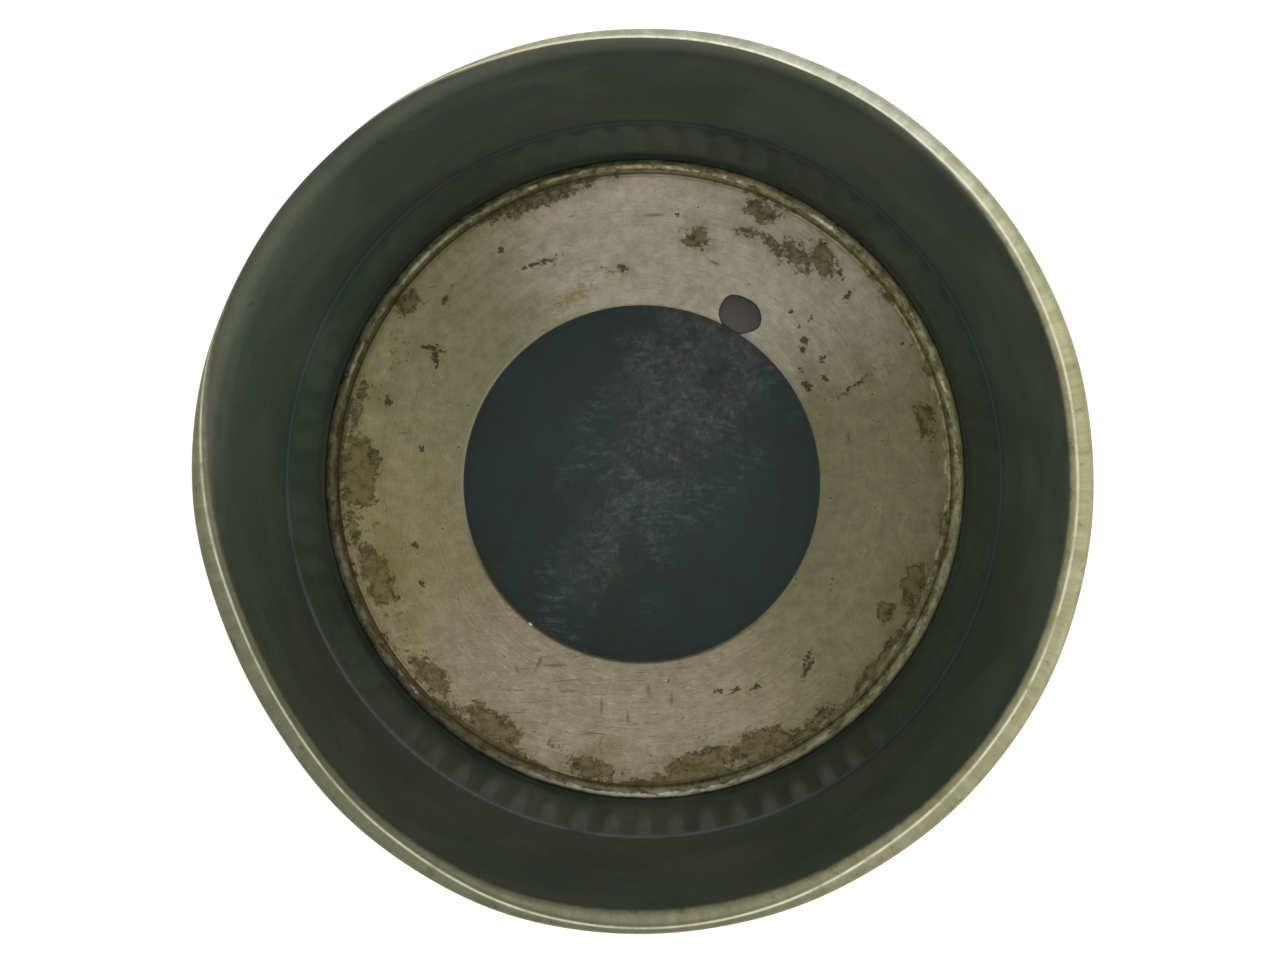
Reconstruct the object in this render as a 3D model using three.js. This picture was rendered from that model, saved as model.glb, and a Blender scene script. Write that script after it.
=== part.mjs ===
// Candle tin: an open round tin of thin sheet metal with a wired rim, a reeded band above its
// foot, a pressed-in floor tray and a soldered disc for the candle or tea light to stand on.
// Units are millimetres. +Z is up. The origin is at the centre of the foot, on the resting plane.
import * as THREE from 'three';

// Driving dimensions
const OVERALL_RADIUS = 39.6;
const HEIGHT = 52;
const SHEET = 0.45;

// Wired rim
const CURL_RADIUS = 1.15;
const CURL_END_ANGLE = -115;
const WIRE_RADIUS = 0.55;
const WIRE_SIDES = 6;

// Wall, its inward ledge and its foot
const LEDGE_STEP = 0.35;
const LEDGE_Z = 22.8;
const FOOT_WIDTH = 2.4;
const FOOT_CHAMFER = 0.5;
const HEM_Z = 2.2;

// Reeded band: upright reeds pressed inwards below the ledge
const REED_COUNT = 68;
const REED_DEPTH = 0.4;
const REED_LOW_Z = 9;
const REED_RUN_OUT = 0.8;

// Floor tray, with a bead, a groove and a curled edge
const TRAY_SHEET = 0.42;
const TRAY_TOP_Z = 3.05;
const TRAY_CURL_RADIUS = 0.68;
const TRAY_CURL_Z = 4.12;
const TRAY_CURL_END_ANGLE = -60;
const TRAY_CLEARANCE = 0.3;
const TRAY_BEAD_RADIUS = 34.62;
const TRAY_BEAD_HALF_WIDTH = 0.3;
const TRAY_BEAD_HEIGHT = 0.22;
const TRAY_GROOVE_RADIUS = 35.02;
const TRAY_GROOVE_DEPTH = 0.3;

// Centre disc, a little off the axis, and the solder that holds it
const DISC_RADIUS = 20.5;
const DISC_THICKNESS = 0.42;
const DISC_EDGE = 0.14;
const DISC_LIFT = 0.06;
const DISC_OFFSET = new THREE.Vector2(-0.34, -0.45);
const TACK_ANGLE = 60;
const TACK_DISTANCE = 21.9;
const TACK_LENGTH = 5.1;
const TACK_BREADTH = 4.3;
const TACK_HEIGHT = 0.7;
const TACK_GAP = 0.08;
const TACK_LIFT = 0.02;
const TACK_SEGMENTS = 24;

// Solder bead under the tray's edge
const SOLDER_DEPTH = 0.8;
const SOLDER_WIDTH = 0.85;
const SOLDER_GAP = 0.15;

// Broad dent that pushes one side of the rim inwards
const DENT_ANGLE = 208;
const DENT_HALF_WIDTH = 24;
const DENT_DEPTH = 1;
const DENT_FOOT_Z = 26;

const WALL_SEGMENTS = 2 * REED_COUNT;
const SEGMENTS = REED_COUNT;

// Radii that follow from the driving dimensions
const wallInner = OVERALL_RADIUS - 2 * CURL_RADIUS;
const bandInner = wallInner - LEDGE_STEP;
const bandOuter = bandInner + SHEET;
const curlCentreRadius = wallInner + CURL_RADIUS;
const curlCentreZ = HEIGHT - CURL_RADIUS;
const ledgeLowZ = LEDGE_Z - LEDGE_STEP;
const trayOuter = bandInner - TRAY_CLEARANCE;

const point = (radius, z) => new THREE.Vector2(radius, z);

// Points of a round section, from one angle to another in degrees.
function arc(centre, radius, fromAngle, toAngle, steps) {
  const points = [];
  for (let i = 0; i <= steps; i += 1) {
    const angle = THREE.MathUtils.degToRad(fromAngle + ((toAngle - fromAngle) * i) / steps);
    points.push(point(centre.x + radius * Math.cos(angle), centre.y + radius * Math.sin(angle)));
  }
  return points;
}

// Points of a curled edge's section, from where it leaves the upright sheet, over the top and
// outwards, to its cut end. The top and outermost points are always among them.
function curl(centre, radius, endAngle) {
  const overTheTop = arc(centre, radius, 180, 0, 4);
  const tuckedUnder = arc(centre, radius, 0, endAngle, 3);
  return [...overTheTop, ...tuckedUnder.slice(1)];
}

// Turns a profile about the Z axis, then moves each point inwards by inwardShift(angle, z).
function turned(profile, segments, inwardShift) {
  const geometry = new THREE.LatheGeometry(profile, segments);
  geometry.rotateX(Math.PI / 2);
  if (!inwardShift) return geometry;
  const position = geometry.attributes.position;
  for (let i = 0; i < position.count; i += 1) {
    const x = position.getX(i);
    const y = position.getY(i);
    const radius = Math.hypot(x, y);
    const moved = radius - inwardShift(Math.atan2(y, x), position.getZ(i));
    position.setXY(i, (x * moved) / radius, (y * moved) / radius);
  }
  return geometry;
}

// How far the dent pushes the sheet inwards: full at the rim, none below DENT_FOOT_Z.
function dentShift(angle, z) {
  const turn = THREE.MathUtils.radToDeg(angle) - DENT_ANGLE;
  const nearest = THREE.MathUtils.euclideanModulo(turn + 180, 360) - 180;
  const rise = THREE.MathUtils.smoothstep(z, DENT_FOOT_Z, HEIGHT);
  return DENT_DEPTH * rise * Math.exp(-((nearest / DENT_HALF_WIDTH) ** 2));
}

// How far the reeds are pressed inwards: they run out flat at both ends of the band.
function reedShift(angle, z) {
  const inBand = z > REED_LOW_Z + REED_RUN_OUT / 2 && z < ledgeLowZ - REED_RUN_OUT / 2;
  return inBand ? REED_DEPTH * (0.5 + 0.5 * Math.cos(REED_COUNT * angle)) : 0;
}

const wallShift = (angle, z) => dentShift(angle, z) + reedShift(angle, z);

function closed(profile) {
  return [...profile, profile[0].clone()];
}

// Wall in one sheet: foot channel with its hem, reeded band, ledge, plain wall and rim curl.
function wallGeometry() {
  const curlCentre = point(curlCentreRadius, curlCentreZ);
  const footInner = bandOuter - FOOT_WIDTH;
  const outside = [
    point(footInner, HEM_Z),
    point(footInner, FOOT_CHAMFER),
    point(footInner + FOOT_CHAMFER, 0),
    point(bandOuter - FOOT_CHAMFER, 0),
    point(bandOuter, FOOT_CHAMFER),
    point(bandOuter, REED_LOW_Z),
    point(bandOuter, REED_LOW_Z + REED_RUN_OUT),
    point(bandOuter, ledgeLowZ - REED_RUN_OUT),
    point(bandOuter, ledgeLowZ),
    point(bandOuter + LEDGE_STEP, LEDGE_Z),
    ...curl(curlCentre, CURL_RADIUS - SHEET, CURL_END_ANGLE),
  ];
  const inside = [
    ...curl(curlCentre, CURL_RADIUS, CURL_END_ANGLE).reverse(),
    point(wallInner, LEDGE_Z),
    point(bandInner, ledgeLowZ),
    point(bandInner, ledgeLowZ - REED_RUN_OUT),
    point(bandInner, REED_LOW_Z + REED_RUN_OUT),
    point(bandInner, REED_LOW_Z),
    point(bandInner, SHEET),
    point(footInner + SHEET, SHEET),
    point(footInner + SHEET, HEM_Z),
  ];
  return turned(closed([...outside, ...inside]), WALL_SEGMENTS, wallShift);
}

// Steel wire that the rim is curled around. It follows the dent.
function wireGeometry() {
  const centre = point(curlCentreRadius, curlCentreZ);
  const section = arc(centre, WIRE_RADIUS, -180, 180, WIRE_SIDES);
  return turned(section, SEGMENTS, dentShift);
}

// Floor tray: flat floor, bead, groove and an edge curled outwards and down.
function trayGeometry() {
  const curlCentre = point(trayOuter - TRAY_CURL_RADIUS, TRAY_CURL_Z);
  const curlStart = trayOuter - 2 * TRAY_CURL_RADIUS;
  const grooveTop = TRAY_TOP_Z - TRAY_GROOVE_DEPTH;
  const underside = [
    point(0, TRAY_TOP_Z - TRAY_SHEET),
    point(TRAY_BEAD_RADIUS - TRAY_BEAD_HALF_WIDTH, TRAY_TOP_Z - TRAY_SHEET),
    point(TRAY_BEAD_RADIUS, TRAY_TOP_Z + TRAY_BEAD_HEIGHT - TRAY_SHEET),
    point(TRAY_GROOVE_RADIUS, grooveTop - TRAY_SHEET),
    point(curlStart + TRAY_SHEET, grooveTop),
    ...curl(curlCentre, TRAY_CURL_RADIUS - TRAY_SHEET, TRAY_CURL_END_ANGLE),
  ];
  const top = [
    ...curl(curlCentre, TRAY_CURL_RADIUS, TRAY_CURL_END_ANGLE).reverse(),
    point(curlStart, TRAY_TOP_Z),
    point(TRAY_GROOVE_RADIUS, grooveTop),
    point(TRAY_BEAD_RADIUS, TRAY_TOP_Z + TRAY_BEAD_HEIGHT),
    point(TRAY_BEAD_RADIUS - TRAY_BEAD_HALF_WIDTH, TRAY_TOP_Z),
    point(0, TRAY_TOP_Z),
  ];
  return turned([...underside, ...top], SEGMENTS);
}

// Solder run into the corner between the tray's edge, the wall and the foot channel.
function traySolderGeometry() {
  const outer = bandInner - SOLDER_GAP;
  const inner = outer - SOLDER_WIDTH;
  const profile = [
    point(inner, HEM_Z - SOLDER_DEPTH),
    point(outer, HEM_Z - SOLDER_DEPTH),
    point(outer, TRAY_TOP_Z),
    point(inner, TRAY_TOP_Z - TRAY_GROOVE_DEPTH),
  ];
  return turned(closed(profile), SEGMENTS);
}

// Flat disc with its edges broken.
function discGeometry() {
  const low = TRAY_TOP_Z + DISC_LIFT;
  const high = low + DISC_THICKNESS;
  const profile = [
    point(0, low),
    point(DISC_RADIUS - DISC_EDGE, low),
    point(DISC_RADIUS, low + DISC_EDGE),
    point(DISC_RADIUS, high - DISC_EDGE),
    point(DISC_RADIUS - DISC_EDGE, high),
    point(0, high),
  ];
  return turned(profile, SEGMENTS);
}

// Low oval dome of solder against the disc's edge, with its near side following that edge.
function tackGeometry() {
  const quarter = arc(point(0, 0), 1, 0, 90, 4);
  const profile = [point(0, 0), ...quarter.slice(0, -1), point(0, 1)];
  const geometry = turned(profile, TACK_SEGMENTS);
  const angle = THREE.MathUtils.degToRad(TACK_ANGLE);
  geometry.scale(TACK_LENGTH / 2, TACK_BREADTH / 2, TACK_HEIGHT);
  geometry.rotateZ(angle - Math.PI / 2);
  geometry.translate(TACK_DISTANCE * Math.cos(angle), TACK_DISTANCE * Math.sin(angle), 0);
  const position = geometry.attributes.position;
  const nearest = DISC_RADIUS + TACK_GAP;
  for (let i = 0; i < position.count; i += 1) {
    const fromDisc = new THREE.Vector2(position.getX(i), position.getY(i)).sub(DISC_OFFSET);
    if (fromDisc.length() < nearest) {
      fromDisc.setLength(nearest).add(DISC_OFFSET);
      position.setXY(i, fromDisc.x, fromDisc.y);
    }
  }
  return geometry.translate(0, 0, TRAY_TOP_Z + TACK_LIFT);
}

function part(name, geometry, color, roughness, metalness) {
  const material = new THREE.MeshStandardMaterial({ color, roughness, metalness });
  const mesh = new THREE.Mesh(geometry, material);
  mesh.name = name;
  return mesh;
}

const tin = new THREE.Group();
tin.name = 'candle_tin';
tin.add(part('body_wall', wallGeometry(), 0x35403a, 0.5, 0.8));
tin.add(part('rim_wire', wireGeometry(), 0x6f6a5c, 0.55, 0.9));
tin.add(part('floor_tray', trayGeometry(), 0x8a8268, 0.45, 0.85));
tin.add(part('tray_solder', traySolderGeometry(), 0x6b6c68, 0.5, 0.9));

const disc = part('centre_disc', discGeometry(), 0x2d3737, 0.5, 0.8);
disc.position.set(DISC_OFFSET.x, DISC_OFFSET.y, 0);
tin.add(disc);
tin.add(part('solder_tack', tackGeometry(), 0x484744, 0.45, 0.85));

export default tin;
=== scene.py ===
"""Candle tin: the visual model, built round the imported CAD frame.

Shapes are worked out in millimetres and written to the meshes in metres. The tin's axis is +Z, its
foot stands on z = 0, and angles run counter-clockwise from +X, seen from above.
"""

import math

import bpy
import numpy as np
from mathutils import Matrix, Vector


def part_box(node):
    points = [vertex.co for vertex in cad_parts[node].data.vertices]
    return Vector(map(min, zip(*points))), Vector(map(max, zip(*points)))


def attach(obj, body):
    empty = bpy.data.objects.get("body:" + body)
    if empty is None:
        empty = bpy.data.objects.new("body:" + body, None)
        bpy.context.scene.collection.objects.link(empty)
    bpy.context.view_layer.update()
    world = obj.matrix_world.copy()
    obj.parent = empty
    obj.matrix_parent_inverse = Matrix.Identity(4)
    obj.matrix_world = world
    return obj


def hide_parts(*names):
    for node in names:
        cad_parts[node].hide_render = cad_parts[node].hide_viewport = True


MM = 0.001

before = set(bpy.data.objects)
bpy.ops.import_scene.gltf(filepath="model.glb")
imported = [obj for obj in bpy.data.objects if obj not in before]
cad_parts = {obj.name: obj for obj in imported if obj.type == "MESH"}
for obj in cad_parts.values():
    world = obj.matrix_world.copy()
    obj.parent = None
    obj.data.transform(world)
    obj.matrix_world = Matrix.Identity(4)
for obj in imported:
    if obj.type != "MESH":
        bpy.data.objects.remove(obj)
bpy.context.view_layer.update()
BOX = {node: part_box(node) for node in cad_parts}

# Sheet metal sizes that the frame's boxes don't give, in millimetres
SHEET = 0.45
CURL_RADIUS = 1.15
CURL_END = -115
BEAD_STEPS = 60
WALL_SPACING = 1.2
NO_ANGLE = 1000.0
LEDGE_STEP = 0.35
LEDGE_Z = 22.8
FOOT_WIDTH = 2.4
FOOT_ROUND = 0.5
HEM_Z = 2.2
SEAM_TOP_Z = 5.2
SEAM_GAP = 0.02
WIRE_RADIUS = 0.55

# The rolled rim's crest line, which is a painted highlight, and the start of the dark inside finish,
# as angles round the bead's section. What varies round the rim is a list of humps: turn, amount and
# half width. Both lines swing outwards in places; on the +Y side the dark reaches further out over
# the bead as painted shade. The painted highlight fades in places.
CREST_ANGLE = 114
CREST_SWINGS = ((40, 8, 20), (100, 34, 45), (144, 108, 28), (272, 45, 28))
CREST_WIDTH = 4.5
CREST_FADES = ((142, 1.0, 18), (212, 0.55, 40))
DARK_ANGLE = 167
DARK_SWINGS = ((62, 60, 36), (98, 42, 26), (143, 140, 33))
DARK_BEFORE, DARK_AFTER = 38, 24

# Where the dark finish starts abruptly, where painted shade lies beside the crest (on its outer and
# on its inner side), and the painted light and shade that make the rim lighter or darker
SHARP_SIDE = ((105, 0.65, 65),)
SHADED_OUTER_SIDE = ((230, 1.0, 80),)
SHADED_INNER_SIDE = ((230, 1.0, 80), (75, 0.9, 45))
RIM_PAINTED_LIGHT = ((75, 0.35, 38), (225, -0.60, 85))

# Reeded band
REED_COUNT = 68
REED_DEPTH = 0.4
REED_LOW_Z = 9.0
REED_RUN_OUT = 1.4
INNER_LEDGE_TURN = 245
# The reeds carry painted highlights on the side towards this turn
REED_LIGHT_TURN = 272
COLUMNS_PER_REED = 10

# Floor tray, and the painted shade and painted highlights round its curled edge
TRAY_SHEET = 0.42
TRAY_TOP_Z = 3.05
TRAY_CURL_RADIUS = 0.68
TRAY_FLAT_RADIUS = 34.62
TRAY_GROOVE_RADIUS = 35.02
TRAY_GROOVE_DEPTH = 0.015
TRAY_EDGE_PAINTED_SHADE = ((0, -0.2, 42), (115, 0.2, 25), (178, 0.58, 34), (236, 0.62, 34), (288, 0.34, 24))
TRAY_CREST_HIGHLIGHT = ((271, 1.0, 21), (335, 0.30, 40))
TRAY_CURL_END = -60
TRAY_CURL_Z = 4.12
TRAY_SPACING = 0.33
TRAY_UNDER_SPACING = 2.0

# Centre disc and solder
DISC_EDGE_ROUND = 0.12
SOLDER_WIDTH = 0.85
TACK_ANGLE = 60
TACK_DISTANCE = 21.9
TACK_LENGTH = 5.1
TACK_BREADTH = 4.3
TACK_GAP = 0.02
TACK_SQUARENESS = 0.85
TACK_RINGS = 14
TACK_COLUMNS = 72

# Dent that pushes one side of the rim inwards
DENT_ANGLE = 208
DENT_HALF_WIDTH = 24
DENT_DEPTH = 1.0
DENT_FOOT_Z = 26
BULGES = ((255, 0.24, 12), (150, 0.15, 18))

# Painted light and shade on the dark inside: how much lighter or darker it is, on the reeded band,
# above it and under the rim
BAND_LIGHT_AND_SHADE = ((68, -0.25, 30), (158, 0.45, 28), (338, 0.30, 25))
UPPER_LIGHT_AND_SHADE = ((350, 0.22, 45), (158, 0.15, 30), (208, -0.18, 28))
UNDER_RIM_LIGHT_AND_SHADE = ((163, 0.4, 26),)

# Small knocks in the wall: angle, height, half width and depth
KNOCKS = ((318, 37, 5.0, 0.22), (24, 41, 3.5, 0.16), (262, 31, 4.0, 0.14), (128, 35, 5.0, 0.2))

# Marks on the floor tray: angle, distance from the axis, length round the axis, width, turn
FLOOR_STAINS = (
    (179, 33.0, 9.0, 4.8, 0), (77.7, 28.4, 3.0, 2.6, 30), (66.7, 33.8, 4.4, 2.4, 0),
    (66, 30.9, 3.4, 1.2, 8), (60.5, 30.6, 3.8, 1.6, -6), (55.6, 31.2, 4.2, 2.4, -22),
    (51, 32.6, 4.4, 2.8, -22), (143.3, 34.2, 2.8, 2.4, 0), (96.1, 24.3, 1.5, 0.9, 0),
    (12, 33.0, 4.6, 2.2, 0), (338.7, 33.4, 6.0, 3.0, 0), (331, 31.6, 2.8, 2.4, 0),
    (238, 33.4, 8.0, 3.6, 0), (223, 33.6, 7.0, 2.8, 0), (259.5, 34.0, 6.0, 2.6, 0),
    (281, 33.4, 9.0, 3.2, 4), (293.5, 33.5, 8.0, 3.6, -4), (306, 34.2, 6.0, 1.8, 0),
    (200, 32.8, 8.0, 3.6, 0), (111, 34.4, 17.0, 1.8, 0), (189, 34.2, 5.0, 1.6, 0),
    (165, 34.2, 6.0, 1.4, 0),
)
FLOOR_SMUDGES = (
    (20.5, 22.0, 3.4, 2.6, 0), (196, 30.5, 7.0, 4.0, 10), (212, 32.5, 5.0, 2.6, 0),
    (163, 32.0, 4.0, 3.0, 0), (340, 31.0, 6.0, 3.0, 0), (8, 33.4, 9.0, 1.6, 0),
    (262, 31.5, 6.0, 2.4, 12),
)
FLOOR_MARKS = (
    (41, 24.4, 1.0, 1.1, 20), (39.5, 23.6, 0.7, 0.8, 0), (30, 21.6, 1.3, 0.8, 30),
    (29, 23.8, 0.9, 0.7, 0), (35, 21.9, 0.6, 0.5, 0), (34, 24.8, 0.6, 0.9, 0),
    (49, 25.7, 0.5, 0.5, 0), (45, 25.0, 0.5, 0.4, 0), (44, 26.6, 0.4, 0.6, 0),
    (115.7, 27.8, 4.6, 0.55, -8), (148.3, 28.9, 0.7, 2.4, 20), (149.8, 28.0, 2.2, 0.8, 30),
    (310.9, 28.8, 2.6, 0.7, 20), (312.5, 27.8, 1.6, 0.5, 20), (293.5, 26.4, 1.4, 0.5, 0),
    (298, 27.2, 1.5, 0.6, 0), (289, 26.0, 1.2, 0.5, 0), (24.2, 26.6, 0.4, 3.4, 12),
    (47, 33.0, 2.2, 0.6, -30), (42, 31.6, 0.6, 1.8, 10), (163, 31.0, 1.2, 1.0, 0),
    (138, 31.0, 0.9, 0.8, 0), (172, 26.0, 0.8, 0.7, 0), (196, 27.6, 0.9, 0.9, 0),
    (205, 28.4, 1.0, 0.7, 0), (83, 30.8, 0.7, 0.5, 0), (122, 31.2, 0.9, 0.8, 0),
)
FLOOR_SCRATCHES = (
    (240, 24.5, 0.8, 4.6, 5), (244.3, 23.8, 5.8, 0.8, 26), (259.2, 26.6, 0.8, 4.2, 11),
    (271, 24.3, 0.8, 2.8, -1), (266, 27.6, 0.8, 3.2, 6), (250, 26.0, 4.2, 0.8, 20),
    (277, 25.5, 0.8, 3.4, -8), (236, 26.4, 3.0, 0.8, -35), (88, 30.5, 5.0, 0.8, 4),
    (72, 26.2, 4.0, 0.8, -12), (12, 24.0, 0.8, 3.5, 70),
)
MARKS = {
    "stain": FLOOR_STAINS,
    "mark": FLOOR_MARKS,
    "yellow": ((112, 22.6, 5.0, 1.7, 8),),
    "bright": ((231.7, 21.2, 0.85, 0.5, -8),),
    "smudge": FLOOR_SMUDGES,
    "scratch": FLOOR_SCRATCHES,
}

# Camera: just off the axis, 150 mm above the rim, aimed at the rim's centre
CAMERA_LENS = 48.52
CAMERA_PLACE = (1.26, 0.78, 202)
CAMERA_TARGET = (-0.10, 0.14, 50.8)

# Light: watts for the lamps, relative strengths for the sky and the table
KEY_POWER = 1.9
FILL_POWER = 0.8
SIDE_POWER = 0.9
SKY_ZENITH = 1.2
SKY_FULL_HEIGHT = 0.85
SKY_HORIZON = 0.45
SKY_PANEL = 0.33
SKY_PANEL_TURN = 0.9
TABLE_GLOW = 0.12

# How finely the pieces are divided round the axis
WALL_COLUMNS = REED_COUNT * COLUMNS_PER_REED
WIRE_COLUMNS = REED_COUNT * 4
ROUND_COLUMNS = 408
TRAY_COLUMNS = 612

# Sizes taken from the frame, in millimetres
HEIGHT = BOX["body_wall"][1].z / MM
OVERALL_RADIUS = BOX["body_wall"][1].x / MM
WALL_INNER = OVERALL_RADIUS - 2 * CURL_RADIUS
BAND_INNER = WALL_INNER - LEDGE_STEP
BAND_OUTER = BAND_INNER + SHEET
LEDGE_LOW_Z = LEDGE_Z - LEDGE_STEP
CURL_CENTRE = (WALL_INNER + CURL_RADIUS, HEIGHT - CURL_RADIUS)
TRAY_OUTER = BOX["floor_tray"][1].x / MM
DISC_LOW, DISC_HIGH = (corner_point / MM for corner_point in BOX["centre_disc"])
DISC_RADIUS = (DISC_HIGH.x - DISC_LOW.x) / 2
DISC_CENTRE = tuple((DISC_LOW + DISC_HIGH) / 2 * Vector((1, 1, 0)))


# ---------------------------------------------------------------- shapes


def arc(centre, radius, start, end, steps):
    """Points (radius, z) of a round section between two angles in degrees."""
    angles = np.radians(np.linspace(start, end, steps + 1))
    return [(centre[0] + radius * math.cos(a), centre[1] + radius * math.sin(a)) for a in angles]


def corner(before, at, after, radius, steps=5):
    """Points that round off the corner at `at` between two straight runs."""
    at = np.array(at, float)
    to_before = np.array(before, float) - at
    to_after = np.array(after, float) - at
    to_before /= np.linalg.norm(to_before)
    to_after /= np.linalg.norm(to_after)
    points = []
    for t in np.linspace(0, 1, steps + 1):
        start, end = at + to_before * radius, at + to_after * radius
        point = (1 - t) ** 2 * start + 2 * t * (1 - t) * at + t**2 * end
        points.append(tuple(point))
    return points


def rounded(points, radii):
    """An open run of points with each inner corner rounded by its own radius."""
    result = [points[0]]
    for i in range(1, len(points) - 1):
        if radii[i] > 0:
            result += corner(points[i - 1], points[i], points[i + 1], radii[i])
        else:
            result.append(points[i])
    result.append(points[-1])
    return result


def refined(points, spacing):
    """The same run of points, with longer stretches cut into steps of at most `spacing`."""
    result = [points[0]]
    for a, b in zip(points, points[1:]):
        a, b = np.array(a, float), np.array(b, float)
        count = max(1, math.ceil(np.linalg.norm(b - a) / spacing))
        result += [tuple(a + (b - a) * k / count) for k in range(1, count + 1)]
    return result


def smoothstep(value, low, high):
    t = np.clip((value - low) / (high - low), 0, 1)
    return t * t * (3 - 2 * t)


def turned(name, profile, columns, shift=None, closed=True):
    """A mesh object made by turning a profile about the axis.

    A closed profile makes a ring. An open one starts and ends on the axis and makes a plate.
    shift(angle, z) says how far each point is pushed inwards.
    """
    angles = np.linspace(0, 2 * math.pi, columns, endpoint=False)
    points = np.array(profile if closed else profile[1:-1], float)
    radius = np.repeat(points[None, :, 0], columns, 0)
    height = np.repeat(points[None, :, 1], columns, 0)
    turn = np.repeat(angles[:, None], len(points), 1)
    if shift is not None:
        radius = radius - shift(turn, height)
    grid = np.stack((radius * np.cos(turn), radius * np.sin(turn), height), -1) * MM
    vertices = grid.reshape(-1, 3).tolist()
    rows = len(points)
    faces = []
    for k in range(columns):
        this, following = k * rows, ((k + 1) % columns) * rows
        for j in range(rows if closed else rows - 1):
            up = (j + 1) % rows
            faces.append((this + j, following + j, following + up, this + up))
    if not closed:
        low, high = len(vertices), len(vertices) + 1
        vertices += [(0, 0, profile[0][1] * MM), (0, 0, profile[-1][1] * MM)]
        for k in range(columns):
            this, following = k * rows, ((k + 1) % columns) * rows
            faces.append((low, following, this))
            faces.append((high, this + rows - 1, following + rows - 1))
    return mesh_object(name, vertices, faces)


def mesh_object(name, vertices, faces):
    mesh = bpy.data.meshes.new(name)
    mesh.from_pydata(vertices, [], faces)
    mesh.validate()
    mesh.shade_smooth()
    piece = bpy.data.objects.new(name, mesh)
    bpy.context.scene.collection.objects.link(piece)
    return piece


def store(piece, name, values):
    """Stores one number per vertex as a mesh attribute that the materials can read."""
    attribute = piece.data.attributes.new(name, "FLOAT", "POINT")
    attribute.data.foreach_set("value", np.array(values, np.float32))


def swing(turn, places):
    """Smooth humps round the axis, added up. Each place gives its angle, height and half width."""
    total = 0
    for at, height, half_width in places:
        away = (np.degrees(turn) - at + 180) % 360 - 180
        total = total + height * np.exp(-((away / half_width) ** 2))
    return total


def dent_shift(angle, z):
    """How far the dent pushes the sheet inwards: full at the rim, none low on the wall.

    Beside the dent the sheet bulges out a little instead.
    """
    shift = swing(angle, ((DENT_ANGLE, DENT_DEPTH, DENT_HALF_WIDTH),)) - swing(angle, BULGES)
    return shift * smoothstep(z, DENT_FOOT_Z, HEIGHT)


def knock_shift(angle, z):
    """Shallow knocks from years of handling."""
    total = 0
    for knock_angle, knock_z, half_width, depth in KNOCKS:
        along = ((np.degrees(angle) - knock_angle + 180) % 360 - 180) * math.pi / 180 * WALL_INNER
        total = total + depth * np.exp(-((along / half_width) ** 2) - ((z - knock_z) / half_width) ** 2)
    return total


def ripple_shift(angle, z):
    """Slight unroundness of hand-worked sheet, growing towards the rim."""
    wave = 0.05 * np.sin(3 * angle + 0.7) + 0.04 * np.sin(7 * angle + 2.1) + 0.02 * np.sin(17 * angle)
    return wave * smoothstep(z, LEDGE_Z, HEIGHT)


def reed_profile(angle):
    """1 on the middle line of each reed and 0 between reeds."""
    return (0.5 + 0.5 * np.cos(REED_COUNT * angle)) ** 1.4


def reed_shift(angle, z):
    low = smoothstep(z, REED_LOW_Z, REED_LOW_Z + REED_RUN_OUT)
    high = 1 - smoothstep(z, LEDGE_LOW_Z - REED_RUN_OUT, LEDGE_LOW_Z)
    return REED_DEPTH * low * high * reed_profile(angle)


def wall_shift(angle, z):
    return dent_shift(angle, z) + knock_shift(angle, z) + ripple_shift(angle, z) + reed_shift(angle, z)


def rim_shift(angle, z):
    return dent_shift(angle, z) + ripple_shift(angle, z)


def wall_profile():
    """The wall's section as one closed run, with a finish and an angle round the bead for each point.

    The finish is 1 on the weathered outside and 0 on the dark inside. The angle is in degrees on
    the bead, where bead_finish takes over, and NO_ANGLE elsewhere.
    """
    foot_inner = BAND_OUTER - FOOT_WIDTH
    outside = [
        (foot_inner, HEM_Z),
        (foot_inner, 0),
        (BAND_OUTER, 0),
        (BAND_OUTER, LEDGE_LOW_Z),
        (BAND_OUTER + LEDGE_STEP, LEDGE_Z),
        (BAND_OUTER + LEDGE_STEP, CURL_CENTRE[1]),
    ]
    inside = [
        (WALL_INNER, CURL_CENTRE[1]),
        (WALL_INNER, LEDGE_Z),
        (BAND_INNER, LEDGE_LOW_Z),
        (BAND_INNER, SEAM_TOP_Z),
        (TRAY_OUTER + SEAM_GAP, TRAY_CURL_Z + 0.35),
        (TRAY_OUTER + SEAM_GAP, TRAY_CURL_Z - 0.15),
        (BAND_INNER, TRAY_CURL_Z - 0.45),
        (BAND_INNER, SHEET),
        (foot_inner + SHEET, SHEET),
        (foot_inner + SHEET, HEM_Z),
    ]
    outer_rounds = (0, FOOT_ROUND, FOOT_ROUND, 0.2, 0.2, 0)
    inner_rounds = (0, 0.2, 0.2, 0.1, 0.1, 0.1, 0.1, 0.3, 0.3, 0)
    outside = refined(rounded(outside, outer_rounds), WALL_SPACING)
    inside = refined(rounded(inside, inner_rounds), WALL_SPACING)[1:]
    hidden = arc(CURL_CENTRE, CURL_RADIUS - SHEET, 180, CURL_END, 16)[1:]
    cut = arc(CURL_CENTRE, CURL_RADIUS - SHEET / 2, CURL_END, CURL_END, 0)
    bead = arc(CURL_CENTRE, CURL_RADIUS, CURL_END, 180, BEAD_STEPS)
    bead_angles = np.linspace(CURL_END, 180, BEAD_STEPS + 1)
    plain = len(outside) + len(hidden) + len(cut)
    finish = [1.0] * (plain + len(bead)) + [0.0] * len(inside)
    across = [NO_ANGLE] * plain + list(bead_angles) + [NO_ANGLE] * len(inside)
    return outside + hidden + cut + bead + inside, finish, across


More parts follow.
